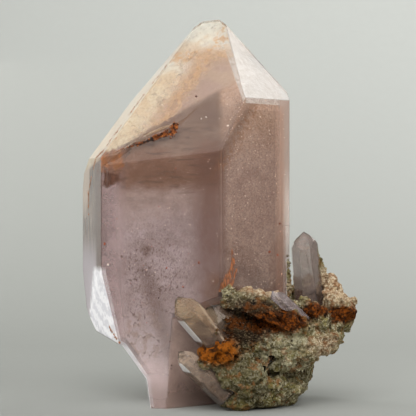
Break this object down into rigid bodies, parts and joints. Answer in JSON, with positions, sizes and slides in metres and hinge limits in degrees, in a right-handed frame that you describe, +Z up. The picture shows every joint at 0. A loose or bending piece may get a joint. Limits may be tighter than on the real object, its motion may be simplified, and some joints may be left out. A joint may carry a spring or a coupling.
{
  "type": "skeletal phantom amethyst point on matrix",
  "caption": "Pale amethyst crystal point with a smoky inner phantom and a ragged growth ledge, standing on rusty matrix with smaller quartz points.",
  "frame": {"origin": "middle of the whole specimen's bounding box, on the surface that it stands on", "axes": "+Z up along the big point, -Y towards the viewer, +X to the right"},
  "size_m": [0.0414, 0.0302, 0.0574],
  "materials": {
    "amethyst": "clear pale lilac quartz with cream and brown phantom veils",
    "phantom_haze": "milky mauve, brown and lavender quartz of the younger crystal inside",
    "smoky_quartz": "clear pale smoky quartz",
    "lilac_quartz": "clear lilac quartz",
    "matrix_rock": "rough, rusty and pale green crumbly rock"
  },
  "bodies": {
    "root": {"amethyst_point": "amethyst", "phantom": "phantom_haze", "front_side_crystals": "smoky_quartz", "lower_side_crystal": "smoky_quartz", "rear_side_crystal": "smoky_quartz", "blade_crystal": "lilac_quartz", "matrix": "matrix_rock"}
  },
  "joints": []
}
